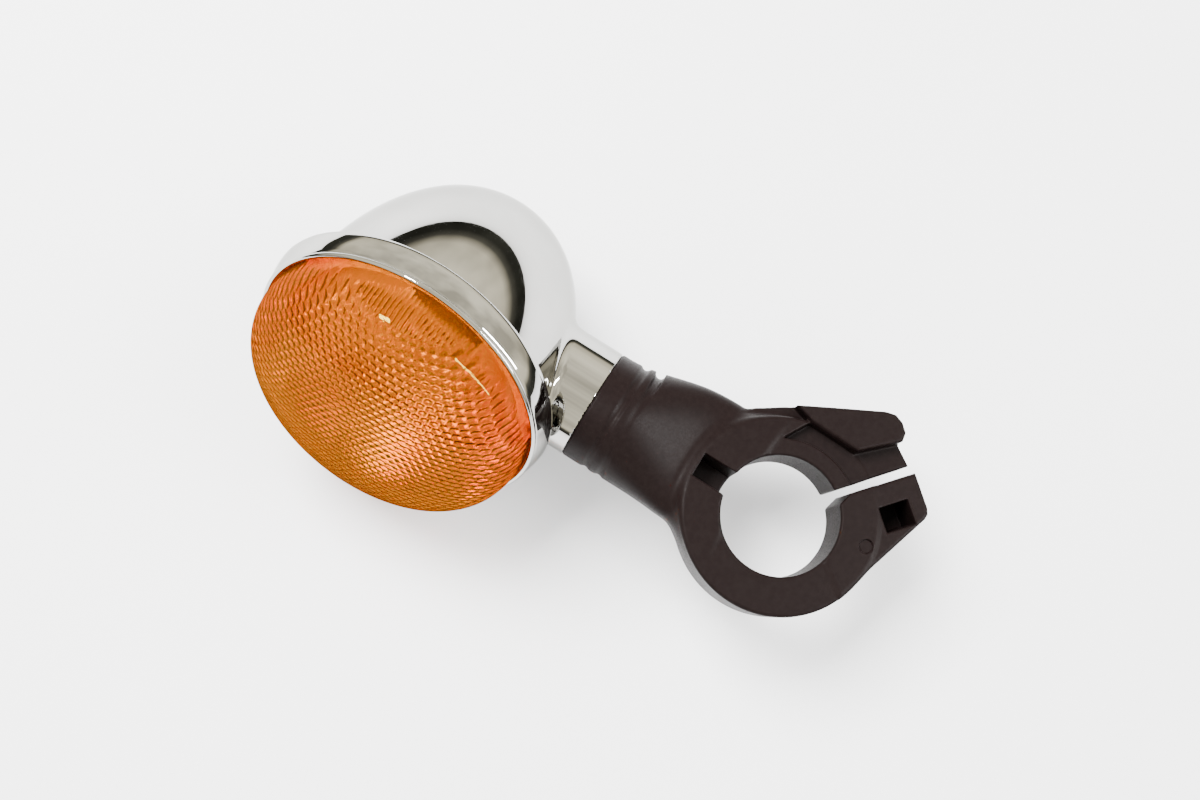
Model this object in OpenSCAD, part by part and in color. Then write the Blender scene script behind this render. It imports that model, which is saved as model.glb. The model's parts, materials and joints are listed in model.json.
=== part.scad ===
// Motorcycle turn signal indicator on a split clamp arm.
// Origin: centre of the clamp bore. +Z runs along the bore, +X from the lamp head to the clamp.
// The lamp head is drawn about its own axis (z = lens direction) and then tilted by the rake.

/* [Clamp] */
// Diameter of the fork tube that the clamp holds
tube_d = 33; // [31:0.5:35]
// Length of the clamp ring along the tube
ring_h = 18; // [16:1:22]
// Outer diameter of the clamp ring
ring_d = 54.6; // [53:0.2:58]
// Direction of the clamp slot from the +X axis
slot_angle = 49.5; // [44:0.5:56]
// Width of the clamp slot
slot_w = 2.2; // [1.5:0.1:3]
// Diameter of the pinch bolt hole
bolt_hole_d = 5.5; // [4.5:0.1:6.5]

/* [Arm] */
// Distance from the clamp centre to the lamp head's axis
arm_length = 107; // [102:1:115]
// Distance from the clamp centre to the arm's square end
arm_end = 59.6; // [56:0.2:62]
// Diameter of the arm's collar and of the bowl's neck
neck_d = 32.4; // [30:0.2:34]

/* [Head] */
// Tilt of the lens axis, from across the tube towards the tube's lower end
rake = 28; // [20:1:34]
// Diameter of the lens at the rim's bead
lens_d = 81; // [76:0.5:84]
// Height of the lens dome above the bead
dome_h = 21.7; // [17:0.1:24]
// Diameter of the rim at its rear edge
rim_d = 87.2; // [86:0.2:92]
// Width of the rim along the head's axis
rim_w = 7.7; // [7:0.1:9]
// Distance from the neck's axis to the lens bead, along the head's axis
bead_z = 28.4; // [27:0.1:31]
// Largest diameter of the bowl
bowl_d = 76.4; // [74:0.2:78]
// Depth of the bowl behind the rim
bowl_depth = 60; // [58:1:64]
// Wall thickness of the bowl
bowl_wall = 2.4; // [2:0.1:2.8]

/* [Bulb and socket] */
// Diameter of the bulb's cap
cap_d = 15; // [14.8:0.1:15.2]
// Diameter of the bulb's glass
glass_d = 25; // [22:0.5:26.5]
// Travel of the bulb against the contact spring
bulb_travel = 2.5; // [1.5:0.1:3]
// Turn of the bulb from locked to its way out
bulb_turn = 24; // [15:1:30]

/* [Hidden] */

$fn = 72;
eps = 0.01;
tube_r = tube_d / 2;
ring_r = ring_d / 2;
neck_r = neck_d / 2;
bolt_r = bolt_hole_d / 2;

// Heights along the head's axis, from the neck's axis
rim_z = bead_z - rim_w;
flange_t = 3.4;
flange_gap = 0.4;
flange_top = rim_z + flange_t;
gasket_t = 1.2;
lens_seat = flange_top + gasket_t;
lens_flange_t = 2;
lens_flange_top = lens_seat + lens_flange_t;
lens_r = lens_d / 2;
bowl_r = bowl_d / 2;
rim_rear_r = rim_d / 2;
rim_front_r = lens_r + 1.3;
skirt_r = rim_front_r - 0.2;
lens_wall = 2.2;
lens_power = 2.7;
bowl_power = 2.2;
profile_steps = 24;

// Bulb: heights of its parts along the head's axis
cap_r = cap_d / 2;
contact_z = -25;
cap_bottom = contact_z + 2.2;
cap_top = contact_z + 17.5;
pin_z = contact_z + 7;
pin_r = 1;
pin_reach = 8.4;
pin_angle = 35;
glass_r = glass_d / 2;
glass_top = contact_z + 52.5;
filament_z = contact_z + 38;

// Socket
shell_in = cap_r + 0.3;
shell_out = shell_in + 0.7;
shell_bottom = contact_z - 8.3;
shell_top = contact_z + 13.4;
slot_half = pin_r + 0.35;
disc_t = 1.4;
base_t = 1;
plate_z = shell_top - 3.6;
plate_t = 1.2;
boss_y = 16;
boss_r = 3.4;
screw_core_r = 1.35;

// Stud that joins the bowl's neck to the arm
stud_r = 7;
stud_bore_r = 4;
stud_start = arm_length - 30.5;
stud_end = 36;
bulkhead_x = 65;
bulkhead_t = 3;
neck_in_r = neck_r - 2.6;
washer_t = 1.4;
nut_t = 5.2;
nut_flats = 22;
anchor_r = 10.5;
anchor_t = 4;

// Rim screws, at equal angles either side of the head's lowest line
screw_spread = 48;
screw_r = 1.2;
screw_head_r = 2.3;
screw_head_h = 1.1;
screw_z = rim_z + (flange_gap + flange_t) / 2;
screw_tip = bowl_r - 1.8;
screw_seat = rim_rear_r - 1.5;

// Lugs, in the slot's own directions: u along the slot, v across it
bolt_u = 30.6;
lug_end = 39.5;
pocket_low = -13.3;
pocket_high = -6.2;
pocket_w = 8.4;
pocket_floor = -4.4;
head_seat_v = 15.5;
head_bore_r = 5;
web_top = 5;
block_top = 10.4;
notch_end = 26.2;
notch_w = 7;

// A quarter outline that bulges like an ellipse: radius r at z = 0, closed at z = h.
// Points run from the outer edge to the axis.
function dome_outline(r, h, power, steps) =
    [for (i = [0:steps])
        let (a = 90 * i / steps, s = pow(sin(a), 2 / power), c = pow(cos(a), 2 / power))
        [i == steps ? 0 : r * c, h * s]];

function reversed(list) = [for (i = [len(list) - 1:-1:0]) list[i]];

module head_place() {
    translate([-arm_length, 0, 0]) rotate([90 - rake, 0, 0]) children();
}

module ring_part(inner, outer, low, high) {
    rotate_extrude() translate([inner, low]) square([outer - inner, high - low]);
}

module rod_x(r, from, to) {
    translate([from, 0, 0]) rotate([0, 90, 0]) cylinder(r = r, h = to - from);
}

// ---- Lens, gasket and rim ----

module lens() {
    outer = dome_outline(lens_r, dome_h, lens_power, profile_steps);
    inner = dome_outline(lens_r - lens_wall, dome_h - lens_wall, lens_power, profile_steps);
    color("darkorange", 0.8) head_place() rotate_extrude($fn = 96) {
        polygon(concat(
            [[skirt_r - 0.1, lens_seat], [skirt_r - 0.1, lens_flange_top], [lens_r, lens_flange_top]],
            [for (p = outer) [p[0], p[1] + bead_z]],
            [for (p = reversed(inner)) [p[0], p[1] + bead_z]],
            [[lens_r - lens_wall, lens_seat]]));
    }
}

module lens_gasket() {
    color("dimgray") head_place()
        ring_part(lens_r - lens_wall - 0.2, skirt_r - 0.4, flange_top, lens_seat);
}

module rim_outline() {
    lip = lens_r + 0.15;
    bead_r = 0.75;
    union() {
        polygon([[rim_rear_r - 1.6, rim_z], [rim_rear_r - 0.5, rim_z], [rim_rear_r, rim_z + 0.5],
                 [rim_front_r + 0.35, bead_z - 1.1], [lip + bead_r, bead_z],
                 [lip, bead_z], [lip, lens_flange_top], [skirt_r, lens_flange_top], [skirt_r, rim_z]]);
        translate([lip + bead_r, bead_z - 0.15]) circle(r = bead_r, $fn = 24);
    }
}

module at_rim_screw(side) {
    // Head-frame direction of a rim screw: x points out along the screw
    head_place() rotate([0, 0, -90 + side * screw_spread]) translate([0, 0, screw_z])
        rotate([0, 90, 0]) children();
}

module rim_bezel() {
    color("silver") difference() {
        head_place() rotate_extrude($fn = 96) rim_outline();
        for (side = [-1, 1]) {
            at_rim_screw(side) cylinder(r = screw_r + 0.25, h = rim_rear_r + 2, $fn = 32);
            at_rim_screw(side) translate([0, 0, screw_seat])
                cylinder(r = screw_head_r + 0.35, h = 5, $fn = 32);
        }
    }
}

module rim_screw(side) {
    color("gainsboro") at_rim_screw(side) difference() {
        union() {
            translate([0, 0, screw_tip]) cylinder(r = screw_r, h = screw_seat - screw_tip + 0.3, $fn = 32);
            translate([0, 0, screw_seat + 0.1]) cylinder(r = screw_head_r, h = screw_head_h, $fn = 32);
        }
        translate([0, 0, screw_seat + screw_head_h - 0.5]) {
            translate([-1.4, -0.3, 0]) cube([2.8, 0.6, 2]);
            translate([-0.3, -1.4, 0]) cube([0.6, 2.8, 2]);
        }
    }
}

module rim_screw_left() {
    rim_screw(-1);
}

module rim_screw_right() {
    rim_screw(1);
}

// ---- Bowl ----

module bowl_shell_outline() {
    outer = dome_outline(bowl_r, bowl_depth, bowl_power, profile_steps);
    inner = dome_outline(bowl_r - bowl_wall, bowl_depth - bowl_wall, bowl_power, profile_steps);
    polygon(concat(
        [for (p = outer) [p[0], rim_z - p[1]]],
        [for (p = reversed(inner)) [p[0], rim_z - p[1]]],
        [[bowl_r - bowl_wall, flange_top], [skirt_r - 0.1, flange_top], [skirt_r - 0.1, rim_z + flange_gap],
         [bowl_r, rim_z + flange_gap]]));
}

module bowl_inside() {
    inner = dome_outline(bowl_r - bowl_wall, bowl_depth - bowl_wall, bowl_power, profile_steps);
    rotate_extrude($fn = 96)
        polygon(concat([for (p = inner) [p[0], rim_z - p[1]]], [[0, rim_z]]));
}

module neck_solid() {
    rod_x(neck_r, -arm_length + 20, -arm_end);
}

module boss_pair() {
    for (side = [-1, 1]) {
        difference() {
            translate([0, side * boss_y, plate_z - 20]) cylinder(r = boss_r, h = 20, $fn = 40);
            translate([0, side * boss_y, plate_z - 9]) cylinder(r = screw_core_r, h = 9 + eps, $fn = 32);
        }
    }
}

module housing_bowl() {
    color("gainsboro") difference() {
        union() {
            head_place() difference() {
                union() {
                    rotate_extrude($fn = 96) bowl_shell_outline();
                    intersection() {
                        boss_pair();
                        bowl_inside();
                    }
                }
            }
            difference() {
                neck_solid();
                head_place() bowl_inside();
            }
        }
        rod_x(neck_in_r, -arm_length + 20, -bulkhead_x - bulkhead_t);
        rod_x(neck_in_r, -bulkhead_x, -arm_end + eps);
        rod_x(stud_r + 0.1, -bulkhead_x - bulkhead_t - eps, -bulkhead_x + eps);
        for (side = [-1, 1]) {
            at_rim_screw(side) cylinder(r = screw_r + 0.05, h = rim_rear_r, $fn = 32);
        }
    }
}

// ---- Reflector ----

module reflector() {
    t = 1;
    base_r = 14.4;
    base_z = -4;
    rim_r = bowl_r - bowl_wall - 0.5;
    top_z = flange_top;
    lip_r = lens_r - lens_wall - 0.4;
    focal = (rim_r * rim_r - base_r * base_r) / (4 * (top_z - base_z));
    steps = 16;
    curve = [for (i = [0:steps])
        let (r = base_r + (rim_r - t - base_r) * i / steps)
        [r, base_z + (r * r - base_r * base_r) / (4 * focal)]];
    color("whitesmoke") head_place() rotate_extrude($fn = 96)
        polygon(concat(
            curve,
            [[rim_r - t, top_z + 0.8], [lip_r, top_z + 0.8], [lip_r, top_z], [rim_r, top_z]],
            [for (p = reversed(curve)) [p[0] + t * 0.6, p[1] - t]]));
}

// ---- Bulb ----

module bulb_glass() {
    wall = 0.7;
    neck = cap_r - 0.9;
    centre = glass_top - glass_r;
    bottom = cap_top - 5;
    blend = asin(neck / glass_r);
    outer = concat(
        [[neck, bottom]],
        [for (i = [0:14]) let (a = -90 + blend + (180 - blend) * i / 14)
            [i == 14 ? 0 : glass_r * cos(a), centre + glass_r * sin(a)]]);
    inner = concat(
        [for (i = [14:-1:0]) let (a = -90 + blend + (180 - blend) * i / 14)
            [i == 14 ? 0 : (glass_r - wall) * cos(a), centre + (glass_r - wall) * sin(a)]],
        [[neck - wall, bottom]]);
    color("white", 0.4) head_place() rotate_extrude($fn = 64) polygon(concat(outer, inner));
}

module bulb_stem() {
    foot_r = 2.2;
    foot_top = filament_z - 12;
    color("lightgray") head_place() {
        translate([0, 0, cap_top - 4]) cylinder(r1 = 4, r2 = foot_r, h = 6, $fn = 32);
        translate([0, 0, cap_top + 2]) cylinder(r = foot_r, h = foot_top - cap_top - 2, $fn = 32);
        for (side = [-1, 1]) {
            translate([side * 1.6, 0, foot_top - 2]) rotate([0, side * 10, 0])
                cylinder(r = 0.3, h = filament_z - foot_top + 2, $fn = 16);
        }
    }
}

module bulb_filament() {
    half = 3.4;
    color("dimgray") head_place() translate([-half, 0, filament_z]) rotate([0, 90, 0])
        cylinder(r = 0.5, h = 2 * half, $fn = 16);
}

module bulb_cap() {
    wall = 0.5;
    floor_t = 1.2;
    color("silver") head_place() {
        rotate_extrude()
            polygon([[cap_r - 2, cap_bottom], [cap_r, cap_bottom], [cap_r, cap_top],
                     [cap_r - wall, cap_top], [cap_r - wall, cap_bottom + floor_t],
                     [cap_r - 2, cap_bottom + floor_t]]);
        for (side = [0, 180]) {
            rotate([0, 0, pin_angle + side]) translate([cap_r - wall / 2, 0, pin_z]) rotate([0, 90, 0])
                cylinder(r = pin_r, h = pin_reach - cap_r + wall / 2, $fn = 32);
        }
    }
}

module bulb_insulator() {
    color("black") head_place() difference() {
        union() {
            translate([0, 0, cap_bottom]) cylinder(r = cap_r - 2, h = 1.2, $fn = 48);
            translate([0, 0, cap_bottom - 1.4]) cylinder(r1 = 3.4, r2 = cap_r - 2, h = 1.4, $fn = 48);
        }
        translate([0, 0, cap_bottom - 2]) cylinder(r = 2.2, h = 4, $fn = 32);
    }
}

module bulb_contact() {
    color("lightgray") head_place() translate([0, 0, contact_z])
        cylinder(r = 2.2, h = cap_bottom + 1.2 - contact_z, $fn = 32);
}

// ---- Socket ----

module contact_disc() {
    color("saddlebrown") head_place()
        ring_part(2.4, cap_r - 0.1, contact_z - 0.8 - disc_t, contact_z - 0.8);
}

module contact_plunger() {
    color("gold") head_place() {
        translate([0, 0, contact_z - 0.8]) cylinder(r = 3.2, h = 0.8, $fn = 32);
        translate([0, 0, contact_z - 0.8 - disc_t - 1]) cylinder(r = 2.4, h = disc_t + 1, $fn = 32);
    }
}

module contact_spring() {
    wire = 0.45;
    coil_r = 5;
    turns = 4;
    low = shell_bottom + 0.7 + base_t + wire;
    high = contact_z - 0.8 - disc_t - wire;
    color("silver") head_place() for (i = [0:turns - 1]) {
        translate([0, 0, low + (high - low) * i / (turns - 1)])
            rotate_extrude($fn = 48) translate([coil_r, 0]) circle(r = wire, $fn = 16);
    }
}

module socket_shell() {
    floor_t = 0.7;
    color("silver") head_place() difference() {
        translate([0, 0, shell_bottom]) cylinder(r = shell_out, h = shell_top - shell_bottom);
        translate([0, 0, shell_bottom + floor_t]) cylinder(r = shell_in, h = shell_top - shell_bottom);
        translate([0, 0, shell_bottom - 1]) cylinder(r = 3.4, h = 3, $fn = 32);
        for (side = [0, 180]) rotate([0, 0, pin_angle + side]) bayonet_slot();
    }
}

module bayonet_slot() {
    // Sideways window that a cap pin turns in, and its way out at the open end
    half_angle = asin(slot_half / shell_in) + 2;
    low = pin_z - bulb_travel - slot_half;
    rotate([0, 0, -half_angle]) rotate_extrude(angle = bulb_turn + 2 * half_angle)
        translate([shell_in - 1, low]) square([3, pin_z + slot_half - low]);
    rotate([0, 0, bulb_turn]) translate([shell_in - 1, -slot_half, pin_z])
        cube([3, 2 * slot_half, shell_top - pin_z + 1]);
}

module base_insulator() {
    color("saddlebrown") head_place()
        ring_part(2.4, shell_in - 0.1, shell_bottom + 0.7, shell_bottom + 0.7 + base_t);
}

module live_terminal() {
    color("gold") head_place() {
        translate([0, 0, shell_bottom + 0.7 + base_t]) ring_part(2.4 - 1.2, 3.2, 0, 0.6);
        translate([0, 0, shell_bottom - 1.2]) ring_part(1.2, 2.4, 0, 1.9 + base_t);
    }
}

module socket_damper() {
    color("black") head_place() difference() {
        ring_part(shell_out, 11.4, plate_z - 1.8, plate_z + plate_t + 1.8);
        ring_part(9.9, 12, plate_z, plate_z + plate_t);
    }
}

module socket_bracket() {
    color("silver") head_place() difference() {
        translate([0, 0, plate_z]) linear_extrude(plate_t) union() {
            square([15, 2 * boss_y], center = true);
            circle(r = 13);
            for (side = [-1, 1]) translate([0, side * boss_y]) circle(r = 5, $fn = 48);
        }
        translate([0, 0, plate_z - 1]) cylinder(r = 9.9, h = plate_t + 2);
        for (side = [-1, 1]) {
            translate([0, side * boss_y, plate_z - 1]) cylinder(r = screw_core_r + 0.3, h = 4, $fn = 32);
        }
    }
}

module bracket_screws() {
    tag_t = 0.8;
    color("silver") head_place() for (side = [-1, 1]) {
        seat = plate_z + plate_t + (side > 0 ? tag_t : 0);
        difference() {
            union() {
                translate([0, side * boss_y, plate_z - 7])
                    cylinder(r = screw_core_r, h = seat + 7 - plate_z, $fn = 32);
                translate([0, side * boss_y, seat]) cylinder(r = 2.9, h = 1.9, $fn = 32);
            }
            translate([-1.8, side * boss_y - 0.35, seat + 1.1]) cube([3.6, 0.7, 2]);
            translate([-0.35, side * boss_y - 1.8, seat + 1.1]) cube([0.7, 3.6, 2]);
        }
    }
}

module earth_tag() {
    tag_t = 0.8;
    color("gold") head_place() difference() {
        translate([0, 0, plate_z + plate_t]) linear_extrude(tag_t) union() {
            translate([0, boss_y]) circle(r = 3.4, $fn = 40);
            translate([0, boss_y - 1.4]) square([9.5, 2.8]);
        }
        translate([0, boss_y, plate_z]) cylinder(r = screw_core_r + 0.1, h = 4, $fn = 32);
    }
}

// ---- Leads ----

function head_point(p) =
    let (a = 90 - rake)
    [p[0] - arm_length, p[1] * cos(a) - p[2] * sin(a), p[1] * sin(a) + p[2] * cos(a)];

// Points that each lead passes, from its terminal to the arm's wire notch
live_route = [head_point([3.4, 0, shell_bottom - 1.15]), head_point([8.5, 0, shell_bottom - 1.1]),
              head_point([13.5, 0, shell_bottom + 2.2]), head_point([21.5, 0, -21]),
              head_point([25.5, 0, -10]), [-78.5, -1.6, -1.4], [-70, -1.5, 0],
              [-50, -1.5, 0], [-37, -1.5, 0]];
earth_route = [head_point([9.7, boss_y, plate_z + plate_t + 0.4]), head_point([15, 14.5, -15]),
               head_point([22, 9, -11]), [-80, 4.6, -1.6], [-76, 2, 0],
               [-66, 1.5, 0], [-50, 1.5, 0], [-37, 1.5, 0]];

lead_r = 0.9;
lead_sides = 8;
lead_steps = 4;

// Smooth curve through a route's points
function on_curve(q, i, t) =
    let (n = len(q) - 1, p0 = q[max(i - 1, 0)], p1 = q[i], p2 = q[i + 1], p3 = q[min(i + 2, n)])
    0.5 * (2 * p1 + (p2 - p0) * t + (2 * p0 - 5 * p1 + 4 * p2 - p3) * t * t
        + (3 * p1 - p0 - 3 * p2 + p3) * t * t * t);

function smooth_route(q) =
    concat([for (i = [0:len(q) - 2]) for (k = [0:lead_steps - 1]) on_curve(q, i, k / lead_steps)],
           [q[len(q) - 1]]);

function unit(v) = v / norm(v);

function ring_points(path, i) =
    let (n = len(path) - 1,
         along = unit(path[min(i + 1, n)] - path[max(i - 1, 0)]),
         side = unit(cross(along, [0.1, 0.9, 0.42])),
         other = cross(along, side))
    [for (k = [0:lead_sides - 1])
        path[i] + lead_r * (side * cos(360 * k / lead_sides) + other * sin(360 * k / lead_sides))];

module lead(route) {
    path = smooth_route(route);
    rings = len(path);
    last = lead_sides * (rings - 1);
    polyhedron(
        points = [for (i = [0:rings - 1]) each ring_points(path, i)],
        faces = concat(
            [[for (k = [0:lead_sides - 1]) k]],
            [for (i = [0:rings - 2]) for (k = [0:lead_sides - 1])
                let (a = lead_sides * i + k, b = lead_sides * i + (k + 1) % lead_sides)
                [a, a + lead_sides, b + lead_sides, b]],
            [[for (k = [lead_sides - 1:-1:0]) last + k]]));
}

module live_lead() {
    color("darkgreen") lead(live_route);
}

module earth_lead() {
    color("black") lead(earth_route);
}

// ---- Stud, nut and washer ----

module stay_tube() {
    color("silver") difference() {
        union() {
            rod_x(stud_r, -stud_start, -stud_end);
            rod_x(anchor_r, -arm_end + 4, -arm_end + 4 + anchor_t);
        }
        rod_x(stud_bore_r, -stud_start - 1, -stud_end + 1);
    }
}

module stay_washer() {
    color("silver") difference() {
        rod_x(12.4, -bulkhead_x - bulkhead_t - washer_t, -bulkhead_x - bulkhead_t);
        rod_x(stud_r + 0.2, -bulkhead_x - bulkhead_t - washer_t - 1, -bulkhead_x);
    }
}

module stay_nut() {
    start = -bulkhead_x - bulkhead_t - washer_t - nut_t;
    color("silver") difference() {
        translate([start, 0, 0]) rotate([0, 90, 0])
            cylinder(r = nut_flats / 2 / cos(30), h = nut_t, $fn = 6);
        rod_x(stud_r + 0.05, start - 1, start + nut_t + 1);
    }
}

// ---- Clamp arm ----

module slot_frame() {
    rotate([0, 0, slot_angle]) children();
}

module arm_stalk() {
    // Round collar that flares and flattens into the clamp ring
    rod_x(neck_r, -arm_end, -46);
    hull() {
        rod_x(neck_r, -48, -46.5, $fn = 32);
        translate([-25, 2.4, 0]) cube([2, 36, 14], center = true);
    }
}

module upper_lug_outline() {
    // Upper lug and shoulder: tangent to the ring's crown, ending in a round nose
    polygon([[1.1, 2], [lug_end, 2], [lug_end - 1, 8.8], [lug_end + 0.8, 11], [lug_end + 0.6, 14],
             [lug_end - 0.8, 16.8], [37, 18.3], [22.6, 24], [6, 30.4], [-2, 30.8], [-10, 28.8], [-14, 20]]);
}

module block_outline() {
    polygon([[25.9, 10.2], [38.6, 9], [lug_end + 0.8, 11], [lug_end + 0.6, 14], [lug_end - 0.8, 16.8],
             [37, 18.3], [22.6, 24], [14, 27.3], [16.5, 21.7]]);
}

module lower_lug_outline() {
    polygon([[8, 0], [lug_end, 0], [lug_end, -10.4], [lug_end - 0.5, -11.9], [lug_end - 1.7, -12.8],
             [8.1, -25.6]]);
}

module clamp_arm() {
    low = -ring_h / 2;
    color([0.17, 0.16, 0.16]) difference() {
        union() {
            arm_stalk();
            rod_x(neck_in_r - 0.3, -arm_end - 3, -arm_end + 1);
            translate([0, 0, low]) cylinder(r = ring_r, h = ring_h, $fn = 96);
            slot_frame() translate([0, 0, low]) {
                linear_extrude(web_top - low) upper_lug_outline();
                linear_extrude(block_top - low) block_outline();
                linear_extrude(ring_h) lower_lug_outline();
            }
        }
        translate([0, 0, low - 1]) cylinder(r = tube_r, h = ring_h + 4, $fn = 96);
        slot_frame() lug_cuts();
        rod_x(stud_r, -arm_end - 4, -stud_end);
        rod_x(anchor_r, -arm_end + 4, -arm_end + 4 + anchor_t);
        rod_x(stud_bore_r, -stud_end - eps, -notch_end + 2);
        translate([-notch_end, -notch_w / 2, -stud_bore_r])
            cube([notch_end - tube_r + 2, notch_w, ring_h]);
        grip_grooves();
    }
}

module lug_cuts() {
    low = -ring_h / 2;
    // Slot, the lead-in at its mouth, bolt hole, head counterbore, nut pocket and the web's step
    translate([8, 0, low - 1]) cube([lug_end, slot_w - 0.1, ring_h + 6]);
    translate([0, 0, low - 1]) linear_extrude(ring_h + 6)
        polygon([[12, 1], [20, 1], [20.5, -0.2], [15, -2.8]]);
    translate([bolt_u, pocket_low + 1, 0]) rotate([-90, 0, 0])
        cylinder(r = bolt_r, h = head_seat_v - pocket_low, $fn = 48);
    translate([bolt_u, head_seat_v, 0]) rotate([-90, 0, 0]) cylinder(r = head_bore_r, h = 20, $fn = 48);
    translate([bolt_u - pocket_w / 2, pocket_low, pocket_floor])
        cube([pocket_w, pocket_high - pocket_low, ring_h + 6]);
    difference() {
        translate([0, 0, web_top]) linear_extrude(ring_h)
            polygon([[12, 2], [lug_end + 2, 2], [lug_end + 2, 9], [38.6, 9], [25.9, 10.2],
                     [16.5, 21.7], [8, 20]]);
        translate([0, 0, web_top - 1]) cylinder(r = 21.3, h = ring_h + 2);
    }
}

module grip_grooves() {
    // Two shallow rings round the collar
    for (x = [52.2, 47.8]) {
        translate([-x, 0, 0]) rotate([0, 90, 0]) rotate_extrude()
            translate([neck_r + 0.35, 0]) circle(r = 0.8, $fn = 24);
    }
}

lens();
lens_gasket();
rim_bezel();
rim_screw_left();
rim_screw_right();
housing_bowl();
reflector();
bulb_glass();
bulb_stem();
bulb_filament();
bulb_cap();
bulb_insulator();
bulb_contact();
contact_disc();
contact_plunger();
contact_spring();
socket_shell();
base_insulator();
live_terminal();
socket_damper();
socket_bracket();
bracket_screws();
earth_tag();
live_lead();
earth_lead();
stay_tube();
stay_nut();
stay_washer();
clamp_arm();
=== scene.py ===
"""Looks for a chrome turn signal with an amber lens on a black clamp arm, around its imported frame."""

import json
import math

import bmesh
import bpy
import numpy as np
from mathutils import Matrix, Vector

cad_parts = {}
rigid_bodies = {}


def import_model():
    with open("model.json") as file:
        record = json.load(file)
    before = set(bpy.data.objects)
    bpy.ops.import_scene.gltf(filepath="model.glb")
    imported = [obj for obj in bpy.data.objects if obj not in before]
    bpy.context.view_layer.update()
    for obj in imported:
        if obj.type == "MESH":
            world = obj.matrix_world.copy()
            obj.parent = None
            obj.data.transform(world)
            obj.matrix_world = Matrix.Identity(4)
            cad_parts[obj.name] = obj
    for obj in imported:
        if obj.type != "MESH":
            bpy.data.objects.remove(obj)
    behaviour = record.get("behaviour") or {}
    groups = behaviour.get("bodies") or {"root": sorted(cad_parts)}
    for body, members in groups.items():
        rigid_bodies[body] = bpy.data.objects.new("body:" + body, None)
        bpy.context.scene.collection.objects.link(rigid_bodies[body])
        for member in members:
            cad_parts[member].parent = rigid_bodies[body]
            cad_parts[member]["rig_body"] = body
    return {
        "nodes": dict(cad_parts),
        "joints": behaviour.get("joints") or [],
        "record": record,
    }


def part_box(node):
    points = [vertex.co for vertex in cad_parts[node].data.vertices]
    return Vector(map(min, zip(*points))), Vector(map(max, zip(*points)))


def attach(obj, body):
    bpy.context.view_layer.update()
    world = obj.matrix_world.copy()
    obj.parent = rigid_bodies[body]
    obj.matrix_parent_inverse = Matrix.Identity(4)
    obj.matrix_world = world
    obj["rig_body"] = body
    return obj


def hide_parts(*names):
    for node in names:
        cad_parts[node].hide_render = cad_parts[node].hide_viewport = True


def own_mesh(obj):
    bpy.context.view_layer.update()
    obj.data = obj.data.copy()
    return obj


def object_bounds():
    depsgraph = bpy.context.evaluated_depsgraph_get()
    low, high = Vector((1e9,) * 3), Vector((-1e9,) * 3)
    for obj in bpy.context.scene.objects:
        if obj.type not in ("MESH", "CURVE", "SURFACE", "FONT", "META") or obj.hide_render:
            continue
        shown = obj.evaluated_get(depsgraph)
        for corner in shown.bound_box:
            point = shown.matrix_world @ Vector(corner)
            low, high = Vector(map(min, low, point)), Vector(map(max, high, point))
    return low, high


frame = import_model()


def box_list(box):
    return [[float(value) for value in corner] for corner in box]


cad_box = box_list(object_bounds())
nodes = frame["nodes"]
mm = 0.001

# ---- Places and sizes, in millimetres, from the frame ----

joints = {joint["name"]: joint for joint in frame["joints"]}
head_axis = Vector(joints["bulb_turn"]["axis"])
head_origin = Vector(joints["bulb_turn"]["pos_m"]) / mm
rake = math.asin(head_axis.z)
head_tilt = math.pi / 2 - rake
head_matrix = Matrix.Translation(head_origin) @ Matrix.Rotation(head_tilt, 4, "X")
head_inverse = head_matrix.inverted()
clamp = {mount["name"]: mount for mount in frame["record"]["mounts"]}
tube_r = clamp["fork_clamp"]["dims"]["r_mm"]
ring_half = clamp["fork_clamp"]["dims"]["length_mm"] / 2
bolt_r = clamp["pinch_bolt"]["dims"]["r_mm"]
slot_side = Vector(clamp["pinch_bolt"]["axis"])
slot_along = Vector((slot_side.y, -slot_side.x, 0))
bolt_u = (Vector(clamp["pinch_bolt"]["pos_m"]) / mm).dot(slot_along)


def width_x(node):
    low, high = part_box(node)
    return (high.x - low.x) / mm


rim_rear_r = width_x("rim_bezel") / 2
arm_end = -(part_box("housing_bowl")[1].x / mm)
lens_flange_r = width_x("lens") / 2

# Heights z run along the head's axis, from the neck's axis out through the lens
lens_r = 40.5
lens_wall = 2.2
lens_power = 2.7
dome_h = 21.7
bead_z = 28.4
rim_z = 20.7
flange_low = 21.1
flange_top = 24.5
lens_seat = 25.7
lens_flange_top = 27.7
bowl_r = 38.2
bowl_depth = 60.0
bowl_power = 2.2
bowl_wall = 2.4
# Places along the arm are measured from the clamp's axis
neck_r = 16.2
neck_in_r = 13.6
neck_low = -95.0
bulkhead = (-68.0, -65.0)
stud_r = 7.05
stud_end = -36.0
ring_r = 27.3


# ---- Mesh helpers ----

def new_object(name, verts, faces, normals=None):
    """Object in metres from points in millimetres."""
    mesh = bpy.data.meshes.new(name)
    places = (np.asarray(verts, float) * mm).tolist()
    mesh.from_pydata(places, [], [list(map(int, face)) for face in faces])
    mesh.update()
    mesh.shade_smooth()
    if normals is not None:
        mesh.normals_split_custom_set_from_vertices(np.asarray(normals, float).tolist())
    made = bpy.data.objects.new(name, mesh)
    bpy.context.scene.collection.objects.link(made)
    return made


def to_row(points):
    """Points in the head's own directions, turned into the row's."""
    turned = np.asarray(points, float) @ np.array(head_matrix.to_3x3()).T
    return turned + np.array(head_matrix.translation)


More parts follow.
